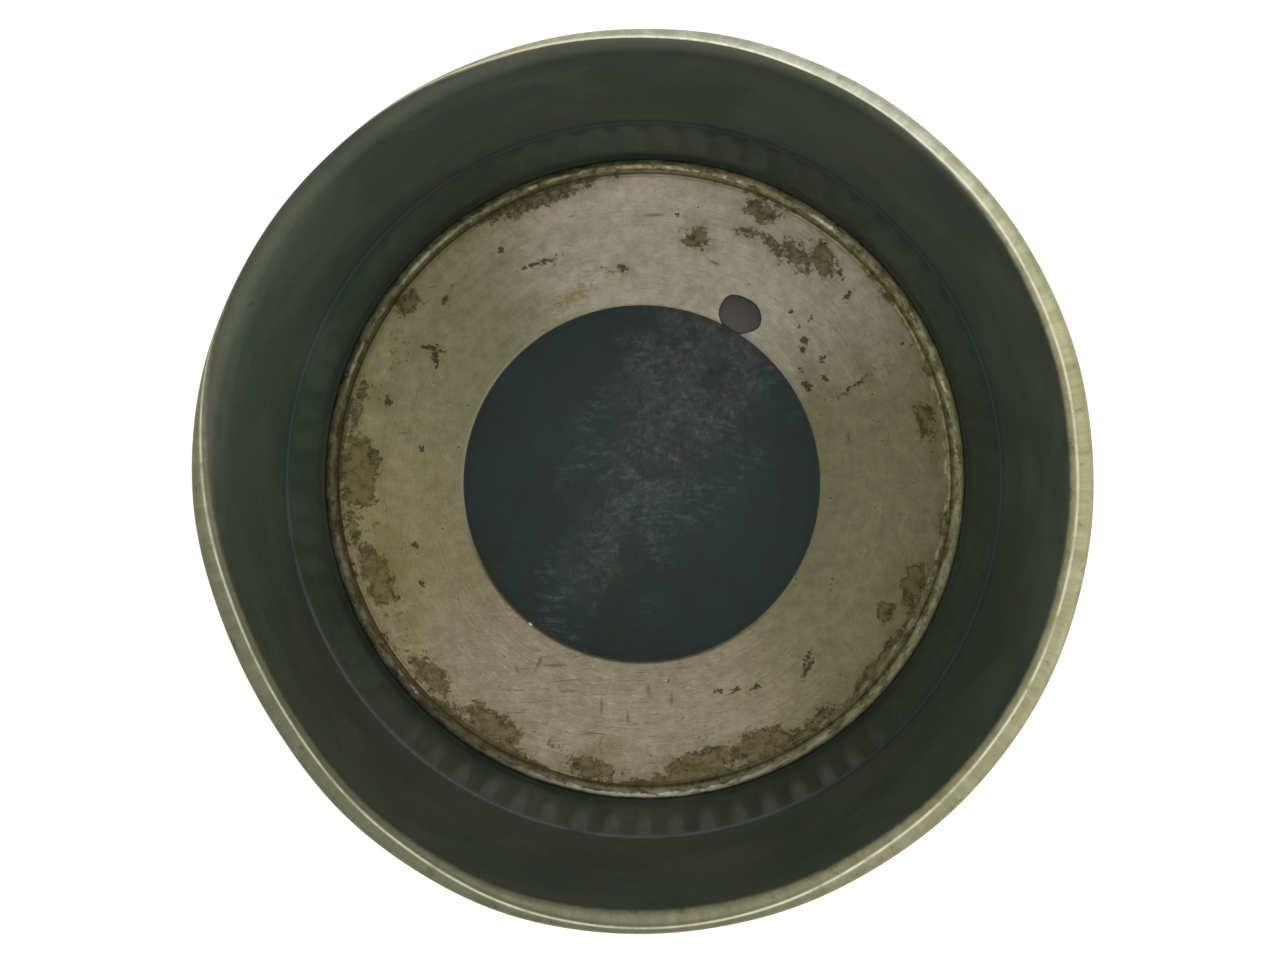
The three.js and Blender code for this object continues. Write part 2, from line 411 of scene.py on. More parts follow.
def bead_finish(turn, across):
    """How far the weathered finish of the outside reaches over the bead: 1 outside, 0 inside."""
    dark = DARK_ANGLE - swing(turn, DARK_SWINGS)
    softness = 1 - swing(turn, SHARP_SIDE)
    return 1 - smoothstep(across, dark - DARK_BEFORE * softness, dark + DARK_AFTER * softness)


def edge_wear_and_light(turn, height, finish, across):
    """1 on the polished outer ledge and on painted highlights (the rim's crest line and the lit side of
    the inner ledge); below 0 on painted shade beside the crest and on the inner ledge's other side.
    """
    crest = CREST_ANGLE - swing(turn, CREST_SWINGS)
    on_crest = np.exp(-(((across - crest) / CREST_WIDTH) ** 2)) * (1 - swing(turn, CREST_FADES))
    inward = np.where(across < NO_ANGLE, across - crest, 0)
    # Painted shade on both sides of the crest
    groove = smoothstep(inward, 5, 11) * (1 - 0.65 * smoothstep(inward, 13, 26))
    outer = smoothstep(-inward, 4, 12) * (1 - smoothstep(-inward, 20, 60))
    dull = 0.9 * groove * swing(turn, SHADED_INNER_SIDE) + 0.3 * outer * swing(turn, SHADED_OUTER_SIDE)
    outer_ledge = finish * np.exp(-(((height - LEDGE_Z) / 0.25) ** 2))
    # The inner ledge: painted highlight on its lit side, painted shade on the other
    lit_side = smoothstep(np.cos(turn - math.radians(INNER_LEDGE_TURN)), 0.3, 0.9)
    ledge_light_and_shade = 1.35 * lit_side - 0.35
    from_ledge = (height - LEDGE_LOW_Z - 0.12) / 0.42
    inner_ledge = (1 - finish) * ledge_light_and_shade * np.exp(-(from_ledge**2))
    return on_crest - dull + outer_ledge + inner_ledge


def painted_reed_highlights(turn, height):
    """1 where the reeds' inner faces carry a painted highlight, next to the ledge on the lit side."""
    bars = smoothstep(reed_profile(turn), 0.40, 0.62)
    top = LEDGE_LOW_Z
    below_ledge = smoothstep(height, 11, 19) * (1 - smoothstep(height, top - 0.2, top + 0.2))
    side = smoothstep(np.cos(turn - math.radians(REED_LIGHT_TURN)), 0.62, 0.86)
    return bars * below_ledge * side


def build_wall():
    profile, finish, across = wall_profile()
    piece = turned("body_wall_sheet", profile, WALL_COLUMNS, wall_shift)
    turns = np.repeat(np.linspace(0, 2 * math.pi, WALL_COLUMNS, endpoint=False), len(profile))
    heights = np.tile([z for _, z in profile], WALL_COLUMNS)
    finish, across = np.tile(finish, WALL_COLUMNS), np.tile(across, WALL_COLUMNS)
    finish = np.where(across < NO_ANGLE, bead_finish(turns, across), finish)
    store(piece, "finish", finish)
    store(piece, "off_bead", 1 - smoothstep(across, 140, 178))
    store(piece, "light", 1 + swing(turns, RIM_PAINTED_LIGHT))
    # Painted light and shade round the inside, by turn and height
    above = smoothstep(heights, LEDGE_LOW_Z - 1, LEDGE_LOW_Z + 1)
    painted_light_and_shade = (1 - above) * swing(turns, BAND_LIGHT_AND_SHADE) + above * swing(turns, UPPER_LIGHT_AND_SHADE)
    painted_light_and_shade = painted_light_and_shade + smoothstep(heights, HEIGHT - 4, HEIGHT - 1.5) * swing(turns, UNDER_RIM_LIGHT_AND_SHADE)
    store(piece, "painted_light_and_shade", 1 + painted_light_and_shade)
    store(piece, "wear_and_light", edge_wear_and_light(turns, heights, finish, across))
    store(piece, "reed", reed_shift(turns, heights) / REED_DEPTH)
    store(piece, "reed_highlight", (1 - finish) * painted_reed_highlights(turns, heights))
    return piece


def build_wire():
    section = arc(CURL_CENTRE, WIRE_RADIUS, -180, 180, 20)[:-1]
    return turned("rim_wire_steel", section, WIRE_COLUMNS, rim_shift)


def tray_profile():
    """The tray's section: flat floor, shallow groove, then the edge curled outwards and down."""
    centre = (TRAY_OUTER - TRAY_CURL_RADIUS, TRAY_CURL_Z)
    curl_start = TRAY_OUTER - 2 * TRAY_CURL_RADIUS
    groove_z = TRAY_TOP_Z - TRAY_GROOVE_DEPTH
    under = rounded(
        [
            (0, TRAY_TOP_Z - TRAY_SHEET),
            (TRAY_FLAT_RADIUS, TRAY_TOP_Z - TRAY_SHEET),
            (TRAY_GROOVE_RADIUS, groove_z - TRAY_SHEET),
            (curl_start + TRAY_SHEET, groove_z),
            (curl_start + TRAY_SHEET, centre[1]),
        ],
        (0, 0.15, 0.15, 0.15, 0),
    )
    curl_in = arc(centre, TRAY_CURL_RADIUS - TRAY_SHEET, 180, TRAY_CURL_END, 14)[1:]
    curl_out = arc(centre, TRAY_CURL_RADIUS, TRAY_CURL_END, 180, 26)
    top = rounded(
        [
            curl_out[-1],
            (curl_start, groove_z + 0.15),
            (TRAY_GROOVE_RADIUS, groove_z),
            (TRAY_FLAT_RADIUS, TRAY_TOP_Z),
            (0, TRAY_TOP_Z),
        ],
        (0, 0.12, 0.12, 0.18, 0),
    )[1:]
    top = refined([curl_out[-1]] + top, TRAY_SPACING)[1:]
    return refined(under, TRAY_UNDER_SPACING) + curl_in + curl_out + top


def depth_in_marks(marks, x, y):
    """How deep each place lies inside the nearest mark's outline, in mm. Outside is negative."""
    deepest = np.full(len(x), -9.0)
    for angle, distance, length, width, turn in marks:
        across = math.radians(angle)
        lean = math.radians(angle + turn)
        from_x, from_y = x - distance * math.cos(across), y - distance * math.sin(across)
        outward = from_x * math.cos(lean) + from_y * math.sin(lean)
        along = from_y * math.cos(lean) - from_x * math.sin(lean)
        reach = np.hypot(outward / (width / 2), along / (length / 2))
        deepest = np.maximum(deepest, (1 - reach) * min(width, length) / 2)
    return deepest


def build_tray():
    piece = turned("floor_tray_sheet", tray_profile(), TRAY_COLUMNS, closed=False)
    places = np.array([tuple(vertex.co) for vertex in piece.data.vertices]) / MM
    x, y = places[:, 0], places[:, 1]
    for name, marks in MARKS.items():
        store(piece, name, depth_in_marks(marks, x, y))
    turns = np.arctan2(y, x)
    store(piece, "edge_painted_light", 1 - swing(turns, TRAY_EDGE_PAINTED_SHADE))
    store(piece, "edge_crest_highlight", swing(turns, TRAY_CREST_HIGHLIGHT))
    return piece


def build_tray_solder():
    """A ring of solder with a hollow meniscus, run into the corner under the tray's edge."""
    low, high = (corner_point / MM for corner_point in BOX["tray_solder"])
    outer, inner = high.x, high.x - SOLDER_WIDTH + 0.1
    hollow = []
    for share in np.linspace(0, 1, 8):
        height = low.z + (high.z - 0.35 - low.z) * (1 - share)
        hollow.append((inner + 0.12 * math.sin(math.pi * share), height))
    solid = [(inner, low.z), (outer, low.z), (outer, high.z - 0.1), (outer - 0.3, high.z - 0.2)]
    profile = solid + hollow[:-1]
    return turned("tray_solder_ring", refined(profile, 0.3), ROUND_COLUMNS)


def build_disc():
    bottom, top = DISC_LOW.z, DISC_HIGH.z
    profile = rounded(
        [(0, bottom), (DISC_RADIUS, bottom), (DISC_RADIUS, top), (0, top)],
        (0, DISC_EDGE_ROUND, DISC_EDGE_ROUND, 0),
    )
    piece = turned("centre_disc_plate", refined(profile, 0.8), ROUND_COLUMNS, closed=False)
    piece.data.transform(Matrix.Translation(Vector(DISC_CENTRE) * MM))
    return piece


def tack_point(ring, column):
    """A place on the tack's skin, from its foot (ring 0) to its flat top, kept off the disc."""
    low, high = (corner_point.z / MM for corner_point in BOX["solder_tack"])
    turn = math.radians(TACK_ANGLE)
    share = math.pi / 2 * ring / TACK_RINGS
    angle = 2 * math.pi * column / TACK_COLUMNS
    wobble = 1 + 0.035 * math.sin(3 * angle + 0.4) + 0.02 * math.sin(5 * angle + 2)
    reach = math.cos(share) ** TACK_SQUARENESS * wobble
    along = TACK_LENGTH / 2 * reach * math.cos(angle)
    across = TACK_DISTANCE + TACK_BREADTH / 2 * reach * math.sin(angle)
    x = along * math.sin(turn) + across * math.cos(turn)
    y = across * math.sin(turn) - along * math.cos(turn)
    away = Vector((x - DISC_CENTRE[0], y - DISC_CENTRE[1]))
    if away.length < DISC_RADIUS + TACK_GAP:
        away.length = DISC_RADIUS + TACK_GAP
        x, y = DISC_CENTRE[0] + away.x, DISC_CENTRE[1] + away.y
    z = low + (high - low) * math.sin(share) ** TACK_SQUARENESS
    return x * MM, y * MM, z * MM


def build_tack():
    """A smooth oval drop of solder lying against the disc's edge, with a neck that wets it."""
    turn = math.radians(TACK_ANGLE)
    foot = Vector((math.cos(turn), math.sin(turn), 0)) * TACK_DISTANCE * MM
    vertices = [(foot.x, foot.y, BOX["solder_tack"][0].z)]
    for ring in range(TACK_RINGS):
        vertices += [tack_point(ring, column) for column in range(TACK_COLUMNS)]
    faces = []
    for column in range(TACK_COLUMNS):
        following = (column + 1) % TACK_COLUMNS
        faces.append((0, 1 + following, 1 + column))
        for ring in range(TACK_RINGS - 1):
            a, b = 1 + ring * TACK_COLUMNS, 1 + (ring + 1) * TACK_COLUMNS
            faces.append((a + column, a + following, b + following, b + column))
    top = 1 + (TACK_RINGS - 1) * TACK_COLUMNS
    faces.append(tuple(range(top, top + TACK_COLUMNS)))
    return mesh_object("solder_tack_drop", vertices, faces)


# ---------------------------------------------------------------- material nodes


AXIS = (0, 0, 0)


class Graph:
    """Builds one material's nodes. Lengths inside it are millimetres."""

    def __init__(self, tree):
        self.tree = tree
        coordinates = self.tree.nodes.new("ShaderNodeTexCoord")
        self.place = self.scaled(coordinates.outputs["Object"], 1 / MM)

    def put(self, socket, value):
        if isinstance(value, bpy.types.NodeSocket):
            self.tree.links.new(value, socket)
        else:
            socket.default_value = value

    def node(self, kind, inputs, **settings):
        node = self.tree.nodes.new(kind)
        for key, value in settings.items():
            setattr(node, key, value)
        for key, value in inputs.items():
            self.put(node.inputs[key], value)
        return node

    def math(self, operation, a, b=0.0):
        return self.node("ShaderNodeMath", {0: a, 1: b}, operation=operation).outputs[0]

    def times(self, a, b):
        return self.math("MULTIPLY", a, b)

    def plus(self, a, b):
        return self.math("ADD", a, b)

    def minus(self, a, b):
        return self.math("SUBTRACT", a, b)

    def larger(self, a, b):
        return self.math("MAXIMUM", a, b)

    def vector(self, operation, a, b=(0, 0, 0)):
        node = self.node("ShaderNodeVectorMath", {0: a, 1: b}, operation=operation)
        return node.outputs["Value" if operation in ("LENGTH", "DOT_PRODUCT") else "Vector"]

    def scaled(self, a, scale):
        inputs = {"Vector": a, "Scale": scale}
        return self.node("ShaderNodeVectorMath", inputs, operation="SCALE").outputs["Vector"]

    def noise(self, where, scale, detail=3.0, roughness=0.55, distortion=0.0):
        inputs = {"Vector": where, "Scale": scale, "Detail": detail}
        inputs.update({"Roughness": roughness, "Distortion": distortion})
        return self.node("ShaderNodeTexNoise", inputs).outputs["Fac"]

    def ragged(self, where, scale, detail, roughness=0.55):
        """Noise that swings evenly either side of zero."""
        return self.minus(self.noise(where, scale, detail, roughness), 0.5)

    def noise_vector(self, where, scale, detail=3.0):
        node = self.node("ShaderNodeTexNoise", {"Vector": where, "Scale": scale, "Detail": detail})
        return self.vector("SUBTRACT", node.outputs["Color"], (0.5, 0.5, 0.5))

    def step(self, value, low, high):
        """0 below low, 1 above high, smooth between. low may be the larger one."""
        inputs = {"Value": value, "From Min": low, "From Max": high}
        node = self.node("ShaderNodeMapRange", inputs, interpolation_type="SMOOTHSTEP")
        return node.outputs["Result"]

    def mix(self, factor, a, b):
        """Colour a turning into colour b."""
        node = self.node("ShaderNodeMix", {"Factor": factor}, data_type="RGBA")
        self.put(node.inputs[6], rgba(a))
        self.put(node.inputs[7], rgba(b))
        return node.outputs[2]

    def shade(self, colour, value):
        """A colour made lighter or darker by a number."""
        return self.scaled(colour, value)

    def between(self, factor, a, b):
        """The number a turning into the number b."""
        return self.node("ShaderNodeMix", {"Factor": factor, "A": a, "B": b}).outputs["Result"]

    def coat(self, colour, over, where, opacity):
        """A colour with another laid over it where `where` is 1."""
        return self.mix(self.times(where, opacity), colour, over)

    def varied(self, colour, factor, low, high):
        """A colour shaded by a number that runs from low to high."""
        return self.shade(colour, self.between(factor, low, high))

    def attribute(self, name):
        return self.node("ShaderNodeAttribute", {}, attribute_name=name).outputs["Fac"]

    def height(self):
        return self.node("ShaderNodeSeparateXYZ", {0: self.place}).outputs["Z"]

    def flat(self):
        """The place on the piece with its height left out."""
        return self.vector("MULTIPLY", self.place, (1, 1, 0))

    def round_place(self, along, across, centre=AXIS):
        """Coordinates for marks that run round the axis: `along` per turn, `across` per mm."""
        from_centre = self.vector("SUBTRACT", self.flat(), centre)
        facing = self.scaled(self.vector("NORMALIZE", from_centre), along)
        radius = self.times(self.vector("LENGTH", from_centre), across)
        height = self.node("ShaderNodeCombineXYZ", {"Z": radius}).outputs[0]
        return self.vector("ADD", facing, height)

    def upright_place(self, along, across):
        """The same for marks that run round the upright wall: `across` is per millimetre of height."""
        facing = self.scaled(self.vector("NORMALIZE", self.flat()), along)
        height = self.vector("MULTIPLY", self.place, (0, 0, across))
        return self.vector("ADD", facing, height)

    def toward(self, angle):
        """How squarely a place lies towards or away from an angle: 0 to 1."""
        lean = self.side(angle)
        return self.times(lean, lean)

    def side(self, angle):
        """1 on the side that faces an angle and -1 on the opposite side."""
        turn = math.radians(angle)
        facing = self.vector("NORMALIZE", self.flat())
        return self.vector("DOT_PRODUCT", facing, (math.cos(turn), math.sin(turn), 0))

    def radius(self, centre=AXIS):
        return self.vector("LENGTH", self.vector("SUBTRACT", self.flat(), centre))

    def mapped(self, where, angle, scale):
        inputs = {"Vector": where, "Rotation": (0, 0, math.radians(-angle)), "Scale": scale}
        return self.node("ShaderNodeMapping", inputs, vector_type="POINT").outputs[0]

    def stretched(self, angle, width, length):
        """Coordinates for marks of a width and length that all run at one angle."""
        return self.mapped(self.place, angle, (1 / length, 1 / width, 1 / width))

    def scratches(self, angle, spacing, length, amount):
        """Thin scratches that run at an angle, slightly curved: 1 on a scratch."""
        bend = self.scaled(self.noise_vector(self.place, 0.03, 1), 12)
        bent = self.vector("ADD", self.place, bend)
        lines = self.mapped(bent, angle, (1 / length, 1 / spacing, 1 / length))
        return self.step(self.noise(lines, 1.0, 2.0), amount, amount + 0.03)

    def bump(self, height, distance):
        inputs = {"Height": height, "Distance": distance * MM, "Strength": 1.0}
        return self.node("ShaderNodeBump", inputs).outputs["Normal"]

    def surface(self, colour, roughness, metallic, normal):
        shader = self.tree.nodes["Principled BSDF"]
        self.put(shader.inputs["Base Color"], colour)
        self.put(shader.inputs["Roughness"], roughness)
        self.put(shader.inputs["Metallic"], metallic)
        self.put(shader.inputs["Normal"], normal)
        return shader


def new_material(name):
    """A new material and the graph that builds it."""
    material = bpy.data.materials.new(name)
    material.use_nodes = True
    return material, Graph(material.node_tree)


def rgba(colour):
    return colour if isinstance(colour, bpy.types.NodeSocket) else (*colour, 1)


# ---------------------------------------------------------------- materials

# Colours of clean and stained metal, and of painted light and shade
OLIVE_TIN = (0.192, 0.174, 0.094)
WARM_TIN = (0.228, 0.202, 0.104)
PALE_TIN_AND_SHEEN = (0.400, 0.352, 0.270)
LOWER_SHEEN_TIN = (0.315, 0.272, 0.185)
STAIN = (0.150, 0.124, 0.050)
OCHRE = (0.245, 0.208, 0.090)
OCHRE_DULL = (0.205, 0.174, 0.060)
DEEP_STAIN_AND_SHADE = (0.070, 0.054, 0.019)
MARK = (0.062, 0.050, 0.024)
YELLOW_STAIN = (0.230, 0.200, 0.055)
EDGE_CREST_HIGHLIGHT = (0.760, 0.750, 0.640)
EDGE_BROWN = (0.150, 0.128, 0.055)
EDGE_OLIVE = (0.360, 0.340, 0.170)
EDGE_PALE = (0.520, 0.500, 0.330)
RIM_OLIVE = (0.225, 0.213, 0.098)
RIM_PALE = (0.395, 0.385, 0.235)
RIM_BROWN = (0.100, 0.082, 0.036)
INNER_RIM_TINT = (0.50, 0.46, 0.38)
WALL_GREEN = (0.036, 0.049, 0.041)
WALL_DARK = (0.024, 0.037, 0.031)
WALL_BLOOM = (0.064, 0.073, 0.058)
OUTSIDE_TIN = (0.370, 0.362, 0.255)
OUTSIDE_TARNISH = (0.200, 0.192, 0.112)
RIM_SHADE = (0.055, 0.055, 0.028)
OUTSIDE_GRIME = (0.060, 0.052, 0.028)
WORN_EDGE_AND_HIGHLIGHT = (0.700, 0.680, 0.540)
RUST = (0.115, 0.062, 0.024)
DISC_DARK = (0.0135, 0.0200, 0.0155)
DISC_TEAL = (0.0105, 0.0245, 0.0215)
DISC_RUBBED_AND_SHEEN = (0.125, 0.118, 0.112)
DISC_FLECK = (0.062, 0.085, 0.078)
SOLDER_GREY = (0.108, 0.102, 0.091)
INNER_LEDGE_HIGHLIGHT = (0.098, 0.097, 0.084)
INNER_LEDGE_SHADE = (0.016, 0.016, 0.013)
REED_HIGHLIGHT = (0.135, 0.140, 0.124)
INNER_FLECK = (0.10, 0.11, 0.095)
INNER_CHIP = (0.014, 0.022, 0.019)
INNER_SCRATCH = (0.12, 0.12, 0.10)
DISC_RIM_HIGHLIGHT = (0.33, 0.34, 0.29)
BARE_SPECK = (0.80, 0.76, 0.64)
DISC_EDGE = (0.10, 0.10, 0.085)
WIRE_BRIGHT = (0.28, 0.26, 0.21)
WIRE_BROWN = (0.14, 0.11, 0.07)
SOLDER_BRIGHT = (0.36, 0.36, 0.35)
PAPER_MIRRORED = (0.55, 0.55, 0.53)
PAPER_WHITE = (0.92, 0.92, 0.91)

# Where the floor's painted sheen and the disc's streak of scratches and painted sheen lie, in degrees
FLOOR_SHEEN_ANGLE = 77
DISC_STREAK_ANGLE = 63


def wall_material():
    material, g = new_material("tarnished_wall")
    finish, wear_and_light = g.attribute("finish"), g.attribute("wear_and_light")
    ragged = g.ragged(g.place, 1.1, 4)
    outside = g.step(g.plus(finish, g.times(ragged, 0.4)), 0.1, 0.9)
    outside = g.math("POWER", outside, 1.8)
    height = g.height()
    high = g.step(height, HEIGHT - 2.6, HEIGHT - 2.2)
    on_rim = g.times(outside, high)

    weathered = g.mix(high, outside_colour(g), rim_colour(g))
    rim_tint = g.mix(g.attribute("off_bead"), (1, 1, 1), INNER_RIM_TINT)
    inside = g.vector("MULTIPLY", inside_colour(g), rim_tint)
    colour = g.mix(outside, inside, weathered)
    patchy = g.step(g.noise(g.upright_place(9, 0.2), 1.0, 5, 0.7), 0.25, 0.55)
    # Polished edges and painted highlights are lightened, painted shade is darkened
    worn_and_highlit = g.times(g.larger(wear_and_light, 0.0), patchy)
    painted_shade = g.larger(g.times(wear_and_light, -1.0), 0.0)
    edge = g.mix(g.larger(outside, high), INNER_LEDGE_HIGHLIGHT, WORN_EDGE_AND_HIGHLIGHT)
    painted_shade_colour = g.mix(g.larger(outside, high), INNER_LEDGE_SHADE, RIM_SHADE)
    colour = g.mix(painted_shade, colour, painted_shade_colour)
    colour = g.coat(colour, edge, worn_and_highlit, 0.9)

    brushing = g.noise(g.upright_place(5, 5.5), 1.0, 3)
    grain = g.noise(g.place, 2.4, 5)
    dull = g.between(on_rim, g.between(outside, 0.62, 0.27), 0.55)
    dull = g.minus(dull, g.times(g.times(worn_and_highlit, outside), 0.2))
    roughness = g.plus(dull, g.times(g.minus(grain, 0.5), 0.28))
    metallic = g.between(on_rim, g.between(outside, 0.25, 0.9), 0.45)
    bumps = g.plus(g.times(brushing, 0.5), grain)
    g.surface(colour, roughness, metallic, g.bump(bumps, 0.035))
    return material


def rim_colour(g):
    """The rolled rim: finely mottled olive and pale metal with brown spots, with painted light and
    shade round it: lighter and bluer on one side, a painted sky reflection, and darker on the other.
    """
    mottle = g.noise(g.upright_place(26, 1.0), 1.0, 6, 0.68)
    colour = g.mix(g.step(mottle, 0.22, 0.80), RIM_OLIVE, RIM_PALE)
    spots = g.step(g.noise(g.place, 0.75, 6, 0.75), 0.58, 0.68)
    colour = g.coat(colour, RIM_BROWN, spots, 0.65)
    # Painted light and shade round the rim; the lit side also gets a bluish painted reflection
    light = g.attribute("light")
    colour = g.mix(g.step(light, 1.0, 1.35), colour, g.vector("MULTIPLY", colour, (0.92, 0.96, 1.35)))
    return g.shade(colour, light)


def inside_colour(g):
    """Dark oxidised inside: clouds, a faint bloom, small chips and hair scratches, with painted light
    and shade and painted highlights on the reeds.
    """
    height = g.height()
    clouds = g.noise(g.place, 0.075, 5, 0.62, 0.5)
    colour = g.mix(g.step(clouds, 0.40, 0.60), WALL_DARK, WALL_GREEN)
    upper = g.step(g.plus(height, g.times(clouds, 14)), 18, 44)
    colour = g.vector("MULTIPLY", colour, g.mix(upper, (1.07, 1.30, 1.16), (1.22, 1.17, 1.02)))
    # Painted light: lighter on the side towards 80 degrees
    colour = g.varied(colour, g.step(g.side(80), -0.95, 0.15), 0.95, 1.5)
    # Painted light and shade stored on the wall
    colour = g.shade(colour, g.attribute("painted_light_and_shade"))
    colour = g.vector("MULTIPLY", colour, g.mix(g.step(height, 8, 5), (1, 1, 1), (1.0, 0.78, 0.74)))
    smudges = g.noise(g.upright_place(3.5, 0.09), 1.0, 5, 0.62)
    colour = g.coat(colour, WALL_BLOOM, g.step(smudges, 0.50, 0.72), 0.75)
    # Painted highlights on the reeds next to the ledge
    reed_highlight_mask = g.times(g.attribute("reed_highlight"), g.between(g.noise(g.place, 0.6, 4), 0.45, 1.1))
    colour = g.coat(colour, REED_HIGHLIGHT, reed_highlight_mask, 0.9)
    flecks = g.step(g.noise(g.place, 1.4, 4, 0.65), 0.66, 0.72)
    colour = g.coat(colour, INNER_FLECK, flecks, 0.35)
    chips = g.times(g.step(g.noise(g.place, 0.5, 3), 0.69, 0.73), 0.5)
    colour = g.mix(chips, colour, INNER_CHIP)
    lines = g.scratches(-38, 0.12, 16, 0.72)
    return g.coat(colour, INNER_SCRATCH, lines, 0.3)


def outside_colour(g):
    """Weathered tinplate: cloudy tarnish, grime in the reeds and corners, rust freckles, scratches."""
    clouds = g.noise(g.place, 0.085, 6, 0.62, 0.6)
    streaks = g.noise(g.upright_place(3.0, 2.2), 1.0, 4)
    tarnish = g.plus(g.times(clouds, 0.72), g.times(streaks, 0.28))
    colour = g.mix(g.step(tarnish, 0.40, 0.62), OUTSIDE_TIN, OUTSIDE_TARNISH)
    height = g.height()
    ragged = g.times(g.ragged(g.place, 0.35, 4), 7.0)
    low = g.step(g.plus(height, ragged), 6.0, -1.0)
    under_rim = g.step(g.plus(height, g.times(ragged, 0.25)), HEIGHT - 4, HEIGHT - 2)
    under_rim = g.times(under_rim, g.step(height, HEIGHT - 1.4, HEIGHT - 2.2))
    grime = g.larger(low, under_rim)
    in_reeds = g.times(g.attribute("reed"), g.step(g.noise(g.place, 0.2, 3), 0.2, 0.65))
    grime = g.larger(grime, g.times(in_reeds, 0.8))
    colour = g.coat(colour, OUTSIDE_GRIME, grime, 0.7)
    freckles = g.step(g.noise(g.place, 0.9, 4, 0.6), 0.64, 0.69)
    colour = g.coat(colour, RUST, freckles, 0.75)
    lines = g.larger(g.scratches(63, 0.09, 9, 0.72), g.scratches(-24, 0.08, 14, 0.73))
    return g.coat(colour, WORN_EDGE_AND_HIGHLIGHT, lines, 0.35)


def floor_material():
    material, g = new_material("tinned_floor")
    radius = g.radius()
    colour = floor_sheet_colour(g)

    ragged = g.ragged(g.flat(), 0.7, 7, 0.72)
    fine = g.ragged(g.flat(), 2.2, 4, 0.65)
    field = g.larger(g.attribute("stain"), floor_margin(g, radius))
    field = g.plus(field, g.times(ragged, 4.0))
    field = g.plus(field, g.times(fine, 1.7))
    halo = g.step(field, -1.6, 0.3)
    colour = g.coat(colour, YELLOW_STAIN, halo, 0.35)
    smudge = g.plus(g.attribute("smudge"), g.times(ragged, 3.0))
    colour = g.coat(colour, OCHRE_DULL, g.step(smudge, -0.4, 0.5), 0.35)
    grains = g.step(g.noise(g.flat(), 2.0, 5, 0.75), 0.56, 0.64)
    grains = g.times(g.step(field, -1.8, -0.6), grains)
    colour = g.coat(colour, PALE_TIN_AND_SHEEN, grains, 0.4)
    stain = g.step(field, -0.1, 0.5)
    blotches = g.noise(g.flat(), 0.8, 6, 0.7)
    stained = g.mix(g.step(blotches, 0.40, 0.62), OCHRE, STAIN)
    outline = g.times(g.step(field, 1.1, 0.3), 0.16)
    stained = g.mix(g.step(g.plus(blotches, outline), 0.54, 0.72), stained, DEEP_STAIN_AND_SHADE)
    opacity = g.between(g.step(g.noise(g.flat(), 1.3, 5, 0.7), 0.38, 0.6), 0.72, 0.95)
    colour = g.mix(g.times(stain, opacity), colour, stained)
    small = g.plus(g.attribute("mark"), g.times(fine, 1.6))
    small = g.step(small, -0.05, 0.2)
    colour = g.coat(colour, MARK, small, 0.8)
    yellow = g.plus(g.attribute("yellow"), g.times(fine, 5.0))
    colour = g.coat(colour, YELLOW_STAIN, g.step(yellow, 0.0, 0.5), 0.7)
    spray = floor_spray(g, radius)
    colour = g.coat(colour, STAIN, spray, 0.75)
    pits = floor_pits(g)
    colour = g.coat(colour, MARK, pits, 0.8)

    # Beside the disc: a painted shadow, with some grime, on the side towards 250 degrees and a painted
    # highlight on the side towards 165 degrees
    beside_disc = g.step(g.radius(DISC_CENTRE), DISC_RADIUS + 0.5, DISC_RADIUS + 0.2)
    shadow_and_grime = g.times(beside_disc, g.step(g.side(250), 0.3, 0.8))
    colour = g.coat(colour, DEEP_STAIN_AND_SHADE, shadow_and_grime, 0.85)
    highlight_beside_disc = g.times(beside_disc, g.step(g.side(165), 0.6, 0.9))
    colour = g.coat(colour, DISC_RIM_HIGHLIGHT, highlight_beside_disc, 0.4)
    bright = g.step(g.attribute("bright"), 0.0, 0.12)
    colour = g.mix(bright, colour, BARE_SPECK)
    colour = floor_edge_colour(g, radius, colour)

    marked = g.larger(stain, g.larger(small, pits))
    brushing = g.noise(g.round_place(4, 7), 1.0, 3)
    grain = g.noise(g.flat(), 2.6, 4)
    roughness = g.plus(0.38, g.times(grain, 0.14))
    roughness = g.plus(roughness, g.times(marked, 0.2))
    metallic = g.between(marked, 0.7, 0.4)
    heights = g.minus(g.times(brushing, 0.25), g.times(marked, 0.8))
    heights = g.plus(heights, g.times(grain, 0.35))
    shader = g.surface(colour, roughness, metallic, g.bump(heights, 0.05))
    g.put(shader.inputs["Specular IOR Level"], g.between(marked, 0.4, 0.12))
    return material


def floor_margin(g, radius):
    """Depth inside the corrosion that creeps in from the tray's edge, further in some places."""
    reach = g.noise(g.round_place(2.2, 0.0), 1.0, 3, 0.6)
    deep = g.times(g.step(g.side(290), -0.1, 0.8), 0.8)
    start = g.between(g.step(reach, 0.35, 0.65), TRAY_FLAT_RADIUS + 1.5, TRAY_FLAT_RADIUS - 0.6)
    start = g.plus(start, g.times(g.step(g.side(150), -0.1, 0.7), 0.6))
    return g.minus(radius, g.minus(start, deep))


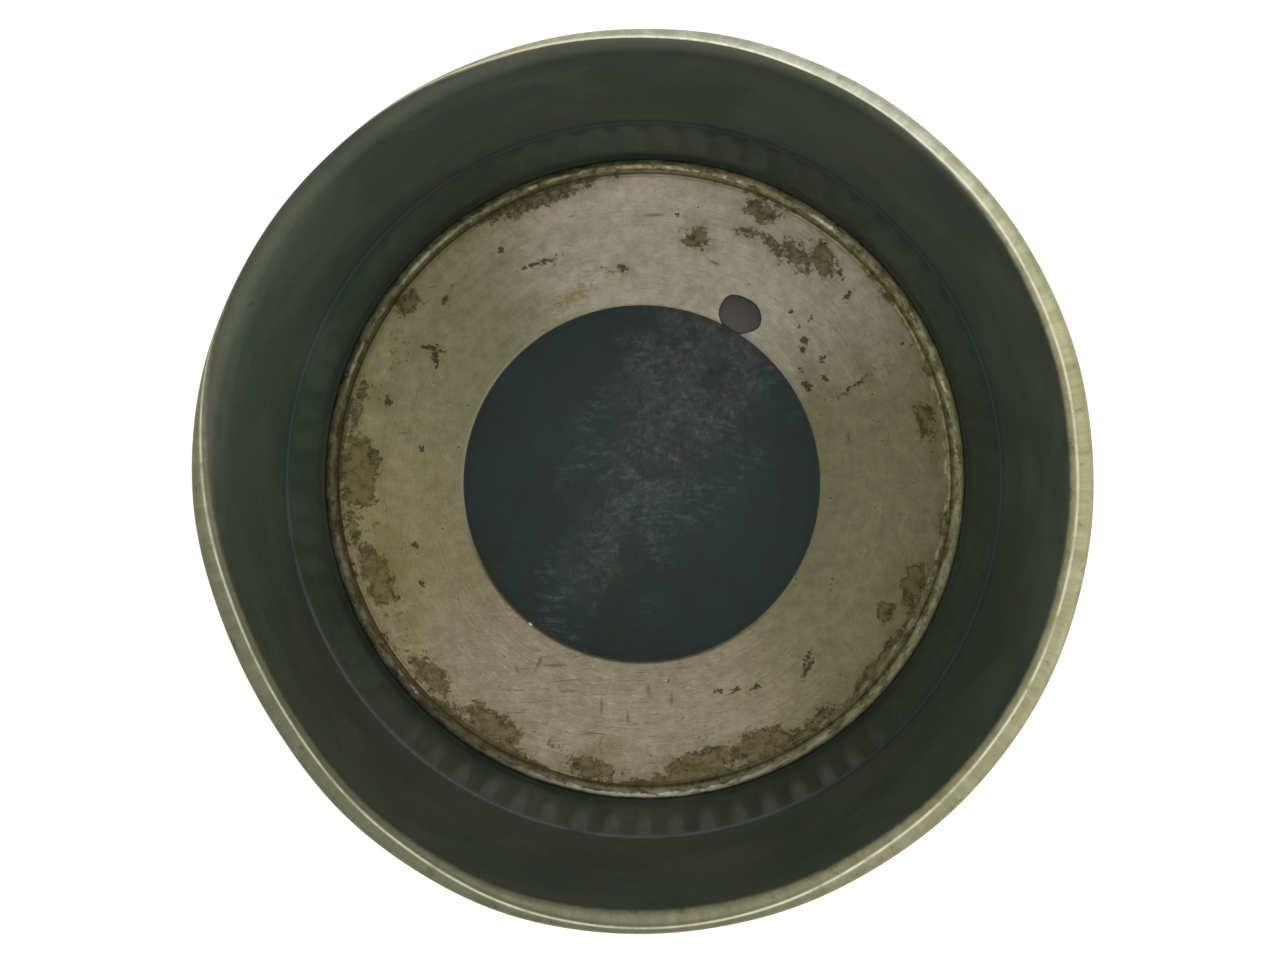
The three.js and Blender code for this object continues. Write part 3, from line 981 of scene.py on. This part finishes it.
def floor_edge_colour(g, radius, colour):
    """The tray's curled edge: flaking brown and olive, with painted shade on the -X side, a painted
    highlight along its crest at -Y and a painted shade line at its foot.
    """
    flakes = g.noise(g.round_place(22, 1.5), 1.0, 6, 0.74)
    blotches = g.noise(g.round_place(13, 0.5), 1.0, 5, 0.7)
    metal = g.mix(g.step(flakes, 0.40, 0.56), EDGE_BROWN, EDGE_OLIVE)
    metal = g.mix(g.times(g.step(blotches, 0.50, 0.62), 0.8), metal, EDGE_PALE)
    # Painted light and shade round the edge
    metal = g.shade(metal, g.attribute("edge_painted_light"))
    right_side = g.step(g.side(350), 0.1, 0.8)
    start = g.between(right_side, TRAY_GROOVE_RADIUS + 0.55, TRAY_GROOVE_RADIUS - 0.1)
    inside_start = g.minus(g.plus(radius, g.times(blotches, 0.8)), start)
    edge = g.step(inside_start, 0.0, 0.3)
    colour = g.mix(edge, colour, metal)
    rough_edge = g.times(g.minus(flakes, 0.5), 1.2)
    rough_radius = g.plus(radius, rough_edge)
    # Painted highlight along the crest
    crest = TRAY_OUTER - TRAY_CURL_RADIUS + 0.2
    from_crest = g.math("ABSOLUTE", g.minus(rough_radius, crest))
    on_crest = g.times(g.step(from_crest, 0.34, 0.10), g.attribute("edge_crest_highlight"))
    colour = g.mix(on_crest, colour, EDGE_CREST_HIGHLIGHT)
    # Painted shade in the corner at the foot of the curl
    corner_shade_line = g.math("ABSOLUTE", g.minus(radius, TRAY_GROOVE_RADIUS + 0.10))
    line_strength = g.between(right_side, 0.7, 0.5)
    corner_shade_line = g.times(g.step(corner_shade_line, 0.32, 0.12), line_strength)
    colour = g.mix(corner_shade_line, colour, DEEP_STAIN_AND_SHADE)
    dark_flakes = g.step(g.noise(g.round_place(17, 1.7), 1.0, 5, 0.72), 0.55, 0.64)
    dark_flakes = g.times(dark_flakes, g.times(edge, 0.6))
    return g.mix(dark_flakes, colour, DEEP_STAIN_AND_SHADE)


def floor_sheet_colour(g):
    """The sheet itself: olive to the sides, with a painted sheen where the light rakes along its
    turning marks.
    """
    rough_turn = g.ragged(g.round_place(3.0, 0.5), 1.0, 4)
    # Painted sheen along the turning marks, towards the sheen angle
    leaning = g.plus(g.toward(FLOOR_SHEEN_ANGLE), g.times(rough_turn, 0.5))
    lower = g.step(g.side(240), -0.2, 0.9)
    colour = g.mix(lower, OLIVE_TIN, WARM_TIN)
    pale = g.mix(lower, PALE_TIN_AND_SHEEN, LOWER_SHEEN_TIN)
    colour = g.mix(g.step(leaning, 0.25, 0.95), colour, pale)
    # Painted light: lighter towards the edge, on the side towards 155 degrees and on the outer part of
    # the -X side
    colour = g.varied(colour, g.step(g.radius(), 18, 34), 0.85, 1.38)
    colour = g.varied(colour, g.step(g.side(155), 0.3, 0.95), 1.0, 1.12)
    outer_left = g.times(g.step(g.radius(), 30.5, 33), g.step(g.side(165), -0.4, 0.5))
    colour = g.varied(colour, outer_left, 1.0, 1.22)
    clouds = g.noise(g.flat(), 0.22, 6, 0.65)
    colour = g.varied(colour, clouds, 0.78, 1.22)
    mottle = g.step(g.noise(g.flat(), 0.65, 7, 0.78), 0.34, 0.66)
    colour = g.varied(colour, mottle, 0.85, 1.15)
    rings = g.noise(g.round_place(2.0, 3.2), 1.0, 4, 0.7)
    colour = g.varied(colour, rings, 0.86, 1.14)
    return floor_scratches(g, colour, leaning)


def floor_scratches(g, colour, leaning):
    """Pale arcs of turning marks, shown only within the painted sheen, pale scuffs from wiping, and a
    few dark hairlines.
    """
    arcs = g.noise(g.round_place(16, 6.0), 1.0, 3, 0.6)
    # Pale arcs only where the painted sheen lies
    pale_arcs = g.times(g.step(arcs, 0.60, 0.70), g.step(leaning, 0.2, 0.9))
    colour = g.coat(colour, WORN_EDGE_AND_HIGHLIGHT, pale_arcs, 0.45)
    dark_arcs = g.step(arcs, 0.36, 0.27)
    colour = g.coat(colour, MARK, dark_arcs, 0.35)
    scuffs = g.step(g.noise(g.stretched(8, 0.16, 2.2), 1.0, 4, 0.7), 0.64, 0.72)
    colour = g.coat(colour, WORN_EDGE_AND_HIGHLIGHT, scuffs, 0.35)
    scribble = g.larger(g.scratches(80, 0.14, 4, 0.66), g.scratches(8, 0.14, 5, 0.67))
    scribble = g.times(scribble, g.step(g.side(255), 0.7, 0.95))
    hairs = g.larger(g.scratches(74, 0.12, 7, 0.72), g.scratches(-28, 0.12, 5, 0.72))
    hairs = g.larger(hairs, scribble)
    hairs = g.larger(hairs, g.step(g.attribute("scratch"), 0.10, 0.30))
    return g.coat(colour, MARK, hairs, 0.5)


def floor_spray(g, radius):
    """Small ochre specks that thicken towards the tray's edge, most of all on the -X -Y side."""
    near_edge = g.step(radius, 23, 34)
    thick_side = g.between(g.step(g.side(215), -0.7, 0.7), 0.45, 1.0)
    patches = g.step(g.noise(g.flat(), 0.3, 4), 0.34, 0.60)
    amount = g.times(g.times(near_edge, thick_side), patches)
    limit = g.between(amount, 0.70, 0.52)
    return g.step(g.minus(g.noise(g.flat(), 1.05, 7, 0.78), limit), 0.0, 0.05)


def floor_pits(g):
    """Pinprick pits, thick in some areas and sparse in others."""
    density = g.step(g.noise(g.flat(), 0.16, 3), 0.38, 0.66)
    limit = g.between(density, 0.74, 0.665)
    spots = g.minus(g.noise(g.flat(), 1.7, 3), limit)
    return g.step(spots, 0.0, 0.04)


def disc_material():
    material, g = new_material("dark_disc")
    rings = g.noise(g.round_place(2.4, 4.5, DISC_CENTRE), 1.0, 4, 0.7)
    clouds = g.noise(g.flat(), 0.14, 5, 0.6)
    colour = g.mix(g.step(clouds, 0.38, 0.64), DISC_DARK, DISC_TEAL)
    colour = g.varied(colour, rings, 0.75, 1.25)
    rubbed_and_sheen, around = disc_streak(g)
    grain = g.noise(g.flat(), 0.95, 8, 0.80, 0.5)
    patches = g.step(g.noise(g.flat(), 0.30, 6, 0.75), 0.41, 0.58)
    # A soft cloud of painted sheen along the streak, with flecks of scratches in it
    cloud = g.times(rubbed_and_sheen, g.between(patches, 0.15, 1.0))
    colour = g.coat(colour, DISC_RUBBED_AND_SHEEN, cloud, 0.17)
    fleck = g.times(cloud, g.step(grain, 0.50, 0.64))
    colour = g.coat(colour, DISC_RUBBED_AND_SHEEN, fleck, 0.75)
    scored = g.times(rubbed_and_sheen, g.step(grain, 0.46, 0.36))
    colour = g.varied(colour, scored, 1.0, 0.45)
    dabs = g.step(g.noise(g.stretched(6, 0.7, 1.6), 1.0, 7, 0.78, 0.3), 0.47, 0.64)
    dabs = g.times(dabs, g.step(g.noise(g.flat(), 0.12, 2), 0.42, 0.60))
    dabs = g.times(dabs, around)
    colour = g.coat(colour, DISC_FLECK, dabs, 0.7)
    edge = g.step(g.radius(DISC_CENTRE), DISC_RADIUS - 0.2, DISC_RADIUS - 0.05)
    colour = g.coat(colour, DISC_EDGE, edge, 0.5)
    roughness = g.plus(0.45, g.times(fleck, 0.15))
    heights = g.plus(g.times(rings, 0.5), g.times(grain, 0.5))
    g.surface(colour, roughness, 0.6, g.bump(heights, 0.03))
    return material


def disc_streak(g):
    """How far the disc lies in its streak of scratches and painted sheen, and how near that streak. The
    streak is ragged and runs across the disc, wider at its far end.
    """
    turn = math.radians(DISC_STREAK_ANGLE)
    from_centre = g.vector("SUBTRACT", g.flat(), DISC_CENTRE)
    along = g.vector("DOT_PRODUCT", from_centre, (math.cos(turn), math.sin(turn), 0))
    aside = g.vector("DOT_PRODUCT", from_centre, (-math.sin(turn), math.cos(turn), 0))
    ragged = g.ragged(g.flat(), 0.17, 6, 0.68)
    aside = g.math("ABSOLUTE", g.plus(aside, g.times(ragged, 13.0)))
    half_width = g.between(g.step(along, -3, 15), 2.6, 6.5)
    depth = g.minus(half_width, aside)
    lower_end = g.step(along, -18, -10)
    rubbed_and_sheen = g.times(g.step(depth, -2.6, 1.6), lower_end)
    return rubbed_and_sheen, g.step(depth, -9.0, -2.0)


def solder_material(name, colour, roughness, metallic):
    material, g = new_material(name)
    clouds = g.noise(g.place, 0.9, 4)
    shade = g.shade(colour, g.between(clouds, 0.85, 1.15))
    uneven = g.plus(roughness, g.times(clouds, 0.2))
    g.surface(shade, uneven, metallic, g.bump(g.noise(g.place, 1.6, 3), 0.02))
    return material


def wire_material():
    material, g = new_material("wire_steel")
    drawn = g.noise(g.upright_place(3, 9), 1.0, 3)
    colour = g.mix(g.step(drawn, 0.4, 0.7), WIRE_BRIGHT, WIRE_BROWN)
    g.surface(colour, 0.45, 0.85, g.bump(drawn, 0.02))
    return material


def studio_floor_material():
    """White paper, lit a little from below like a light table. The tin mirrors it less bright."""
    material, g = new_material("studio_floor")
    paper = g.noise(g.place, 0.4, 3)
    camera_ray = g.node("ShaderNodeLightPath", {}).outputs["Is Camera Ray"]
    white = g.mix(camera_ray, PAPER_MIRRORED, PAPER_WHITE)
    shader = g.surface(white, 0.8, 0.0, g.bump(paper, 0.01))
    shader.inputs["Emission Color"].default_value = (1, 1, 0.99, 1)
    shader.inputs["Emission Strength"].default_value = TABLE_GLOW
    return material


# ---------------------------------------------------------------- studio


def build_studio():
    size = 6.0
    corners = [(-size, -size, 0), (size, -size, 0), (size, size, 0), (-size, size, 0)]
    ground = mesh_object("studio_floor", corners, [(0, 1, 2, 3)])
    ground.data.materials.append(studio_floor_material())
    soft_light("key", azimuth=56, elevation=58, distance=0.9, size=0.45, power=KEY_POWER)
    soft_light("fill", azimuth=236, elevation=48, distance=0.9, size=0.35, power=FILL_POWER)
    soft_light("side", azimuth=340, elevation=20, distance=0.7, size=0.25, power=SIDE_POWER)
    sky()


def soft_light(name, azimuth, elevation, distance, size, power):
    """A square soft box that faces the tin. Azimuth runs counter-clockwise from +X."""
    turn, lift = math.radians(azimuth), math.radians(elevation)
    toward = Vector((math.cos(turn) * math.cos(lift), math.sin(turn) * math.cos(lift), math.sin(lift)))
    data = bpy.data.lights.new(name, "AREA")
    data.shape = "SQUARE"
    data.size = size
    data.energy = power
    light = bpy.data.objects.new(name, data)
    light.location = toward * distance
    light.rotation_euler = toward.to_track_quat("Z", "Y").to_euler()
    bpy.context.scene.collection.objects.link(light)


def sky():
    """Bright overhead, darker and uneven at the horizon, so that the metal has something to mirror.

    The camera itself sees a plain white backdrop.
    """
    world = bpy.data.worlds.new("studio")
    world.use_nodes = True
    g = Graph(world.node_tree)
    split = g.node("ShaderNodeSeparateXYZ", {0: g.node("ShaderNodeTexCoord", {}).outputs["Generated"]})
    overhead = g.step(split.outputs["Z"], 0.0, SKY_FULL_HEIGHT)
    azimuth = g.math("ARCTAN2", split.outputs["Y"], split.outputs["X"])
    panels = g.math("COSINE", g.plus(g.times(azimuth, 3), SKY_PANEL_TURN))
    horizon = g.plus(SKY_HORIZON, g.times(panels, SKY_PANEL))
    mirrored = g.between(overhead, horizon, SKY_ZENITH)
    camera_ray = g.node("ShaderNodeLightPath", {}).outputs["Is Camera Ray"]
    background = world.node_tree.nodes["Background"]
    g.put(background.inputs["Strength"], g.between(camera_ray, mirrored, 1.0))
    background.inputs["Color"].default_value = (1.0, 1.0, 0.99, 1)
    bpy.context.scene.world = world


def build_camera():
    data = bpy.data.cameras.new("camera")
    data.lens = CAMERA_LENS
    data.sensor_width = 36
    data.clip_start = 0.01
    camera = bpy.data.objects.new("camera", data)
    place, target = Vector(CAMERA_PLACE) * MM, Vector(CAMERA_TARGET) * MM
    camera.location = place
    camera.rotation_euler = straight_down(place, target)
    bpy.context.scene.collection.objects.link(camera)
    bpy.context.scene.camera = camera


def straight_down(place, target):
    """Rotation that looks from one place to the other with +Y at the top of the picture."""
    back = (place - target).normalized()
    right = Vector((0, 1, 0)).cross(back).normalized()
    up = back.cross(right)
    return Matrix((right, up, back)).transposed().to_euler()


# ---------------------------------------------------------------- the tin


def place_piece(piece, node, material):
    piece.data.materials.append(material)
    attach(piece, "root")
    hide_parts(node)


def build_tin():
    place_piece(build_wall(), "body_wall", wall_material())
    place_piece(build_wire(), "rim_wire", wire_material())
    place_piece(build_tray(), "floor_tray", floor_material())
    solder = solder_material("solder", SOLDER_BRIGHT, 0.3, 0.8)
    place_piece(build_tray_solder(), "tray_solder", solder)
    place_piece(build_disc(), "centre_disc", disc_material())
    solder_dark = solder_material("solder_dark", SOLDER_GREY, 0.65, 0.1)
    place_piece(build_tack(), "solder_tack", solder_dark)


build_tin()
build_studio()
build_camera()
bpy.context.scene.view_settings.view_transform = "Standard"
bpy.context.scene.cycles.use_denoising = True
